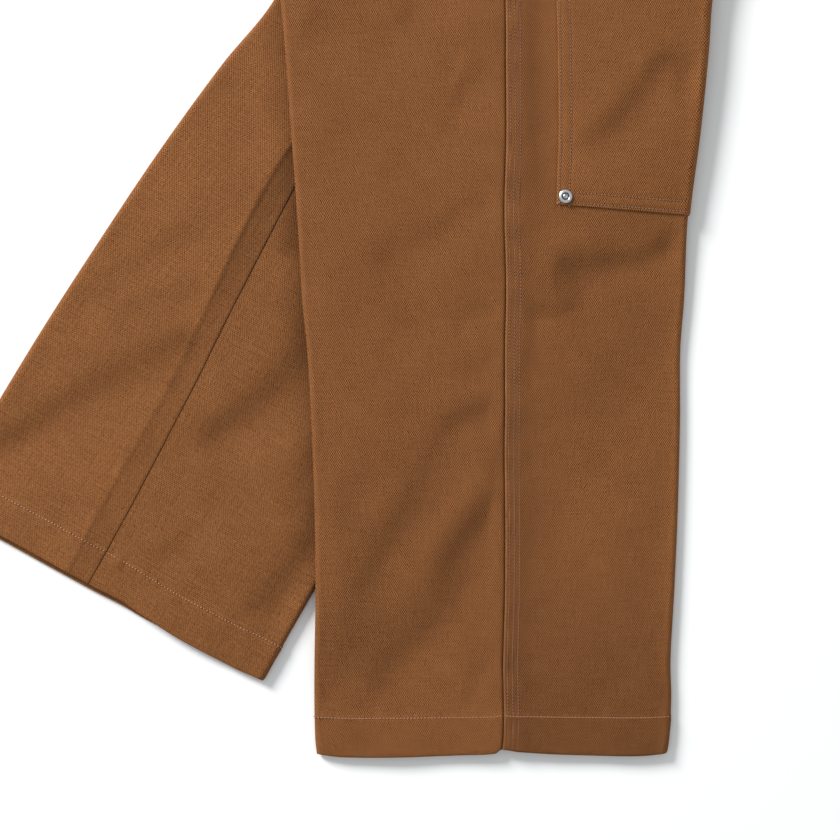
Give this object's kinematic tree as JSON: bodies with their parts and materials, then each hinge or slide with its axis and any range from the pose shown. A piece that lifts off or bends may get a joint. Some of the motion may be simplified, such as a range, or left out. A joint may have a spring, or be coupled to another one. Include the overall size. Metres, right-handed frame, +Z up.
{
  "type": "carpenter pants",
  "caption": "Brown duck work trousers laid flat on their side, with double knees, lapped outseams, hip pockets, belt loops, a knee rivet and a waist button.",
  "frame": {"origin": "middle of the bounding box on the surface it lies on", "axes": "+Y from the hems to the waist, +X to the front of the garment, +Z up from the surface"},
  "size_m": [0.6198, 1.0608, 0.0158],
  "materials": {
    "duck": "brown cotton duck, matt, with a fine twill",
    "duck_lower_leg": "brown cotton duck, matt, slightly lighter in the light",
    "duck_trim": "brown cotton duck, several layers",
    "steel": "pressed metal, worn satin"
  },
  "bodies": {
    "root": {"right_front": "duck", "right_back": "duck", "right_knee_patch": "duck", "right_front_pocket": "duck", "right_back_pocket": "duck", "left_front": "duck_lower_leg", "left_back": "duck_lower_leg", "left_knee_patch": "duck_lower_leg", "waistband": "duck_trim", "fly_placket": "duck_trim", "belt_loop_front": "duck_trim", "belt_loop_side": "duck_trim", "belt_loop_back": "duck_trim", "right_knee_rivet": "steel", "waist_button": "steel"}
  },
  "joints": []
}
